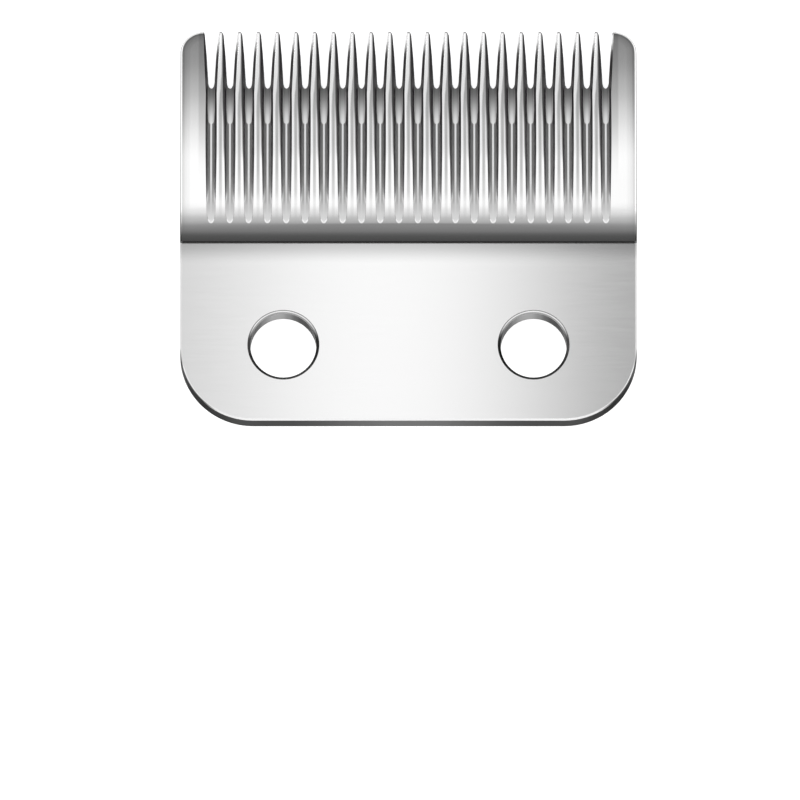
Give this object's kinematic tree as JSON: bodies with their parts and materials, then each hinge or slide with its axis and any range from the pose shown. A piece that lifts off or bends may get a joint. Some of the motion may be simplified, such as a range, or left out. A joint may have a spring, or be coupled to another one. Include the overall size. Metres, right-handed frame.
{
  "type": "hair clipper blade",
  "caption": "Fixed blade of a hair clipper: ground steel plate with a flat drilled heel, a raised rounded shoulder and a row of tapered comb teeth between solid end rails.",
  "frame": {"origin": "midway between the two screw holes, on the inner face that the blade lies on", "axes": "+X along the row of teeth, +Y from the screw holes towards the tooth tips, +Z out of the outer face, away from the moving cutter"},
  "size_m": [0.0464, 0.0413, 0.0039],
  "materials": {
    "blade_steel": "fine brushed heel, polished shoulder and tooth ridges, darker ground tooth flanks"
  },
  "bodies": {
    "root": {"fixed_blade": "blade_steel"}
  },
  "joints": []
}
